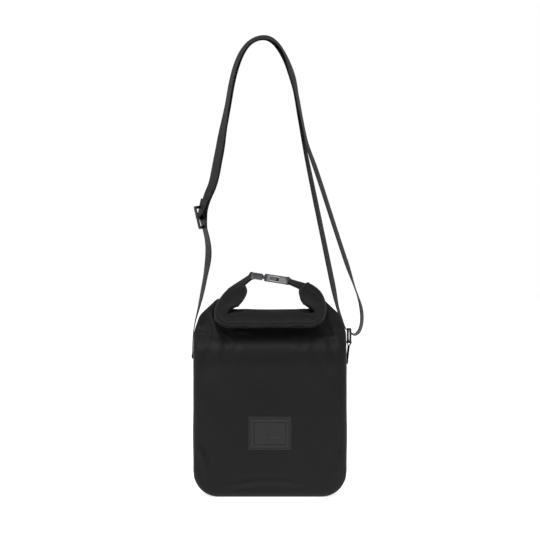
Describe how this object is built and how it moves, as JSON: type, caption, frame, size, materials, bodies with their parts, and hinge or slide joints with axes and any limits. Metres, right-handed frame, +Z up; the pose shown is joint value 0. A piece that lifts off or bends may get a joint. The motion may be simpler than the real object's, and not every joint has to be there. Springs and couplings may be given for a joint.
{
  "type": "roll-top crossbody bag",
  "caption": "Small black roll-top crossbody bag: rolled mouth bent up into a hand loop closed by a side-release buckle, with an adjustable webbing shoulder strap.",
  "frame": {"origin": "centre of the base on the ground", "axes": "+Z up, the front with its label faces -Y, +X to the right seen from the front"},
  "size_m": [0.2477, 0.1178, 0.6677],
  "materials": {
    "body_fabric": "tight woven coated polyester, matt black",
    "webbing": "ribbed black webbing, slight sheen",
    "lining_fabric": "smooth dark lining",
    "seam_binding": "matt binding tape",
    "thread": "black sewing thread",
    "board": "black sheet plastic",
    "label_leather": "dark grey fine-grained, pressed lines",
    "moulded_plastic": "moulded black acetal, satin"
  },
  "bodies": {
    "bag": {"front_panel": "body_fabric", "back_panel": "body_fabric", "left_gusset": "body_fabric", "right_gusset": "body_fabric", "base_panel": "body_fabric", "front_seam_tape": "seam_binding", "back_seam_tape": "seam_binding", "lining": "lining_fabric", "base_board": "board", "label_patch": "label_leather", "patch_stitching": "thread", "left_anchor_patch": "body_fabric", "left_bar_tack": "thread", "ring_tab": "webbing", "ring_tab_bar_tack": "thread", "strap_inner_strand": "webbing", "strap_outer_strand": "webbing"},
    "roll": {"rolled_top": "body_fabric", "mouth_stiffener": "board", "neck_flap": "body_fabric"},
    "left_end": {"left_hand_end": "body_fabric", "left_closure_webbing": "webbing"},
    "right_end": {"right_hand_end": "body_fabric", "right_closure_webbing": "webbing"},
    "buckle_plug": {"buckle_male": "moulded_plastic"},
    "front_catch": {"catch_front": "moulded_plastic"},
    "rear_catch": {"catch_rear": "moulded_plastic"},
    "buckle_socket": {"buckle_female": "moulded_plastic"},
    "ring": {"strap_ring": "moulded_plastic"},
    "slider": {"slider_frame": "moulded_plastic", "slider_loop": "webbing"}
  },
  "joints": [
    {"name": "roll_lift", "type": "hinge", "parent": "bag", "child": "roll", "pos_m": [0, -0.012, 0.2625], "axis": [-1, 0, 0], "range_deg": [0, 8]},
    {"name": "left_end_swing", "type": "hinge", "parent": "roll", "child": "left_end", "pos_m": [-0.072, -0.038, 0.25], "axis": [0, -1, 0], "range_deg": [0, 50], "deforming": ["catch_front", "catch_rear"]},
    {"name": "right_end_swing", "type": "hinge", "parent": "roll", "child": "right_end", "pos_m": [0.074, -0.038, 0.25], "axis": [0, 1, 0], "range_deg": [0, 50]},
    {"name": "plug_tilt", "type": "hinge", "parent": "left_end", "child": "buckle_plug", "pos_m": [-0.02491, -0.038, 0.31781], "axis": [0, 1, 0], "range_deg": [0, 50]},
    {"name": "socket_tilt", "type": "hinge", "parent": "right_end", "child": "buckle_socket", "pos_m": [0.02491, -0.038, 0.31019], "axis": [0, -1, 0], "range_deg": [0, 50]},
    {"name": "front_catch_press", "type": "hinge", "parent": "buckle_plug", "child": "front_catch", "pos_m": [-0.01038, -0.0482, 0.31559], "axis": [0.1513, 0, 0.9885], "range_deg": [0, 12], "stiffness_Nm_per_rad": 0.15},
    {"name": "rear_catch_press", "type": "hinge", "parent": "buckle_plug", "child": "rear_catch", "pos_m": [-0.01038, -0.0278, 0.31559], "axis": [-0.1513, 0, -0.9885], "range_deg": [0, 12], "stiffness_Nm_per_rad": 0.15},
    {"name": "ring_swing", "type": "hinge", "parent": "bag", "child": "ring", "pos_m": [0.115, 0.014, 0.221], "axis": [0, 1, 0], "range_deg": [-6, 15], "deforming": ["strap_inner_strand", "strap_outer_strand"]},
    {"name": "slider_slide", "type": "slide", "parent": "bag", "child": "slider", "axis": [0.2912, 0, 0.9567], "range_m": [-0.008, 0.008]}
  ],
  "couplings": [
    {"joint": "right_end_swing", "follows": "left_end_swing", "ratio": 0.553},
    {"joint": "plug_tilt", "follows": "left_end_swing", "ratio": 1},
    {"joint": "socket_tilt", "follows": "left_end_swing", "ratio": 0.553}
  ]
}
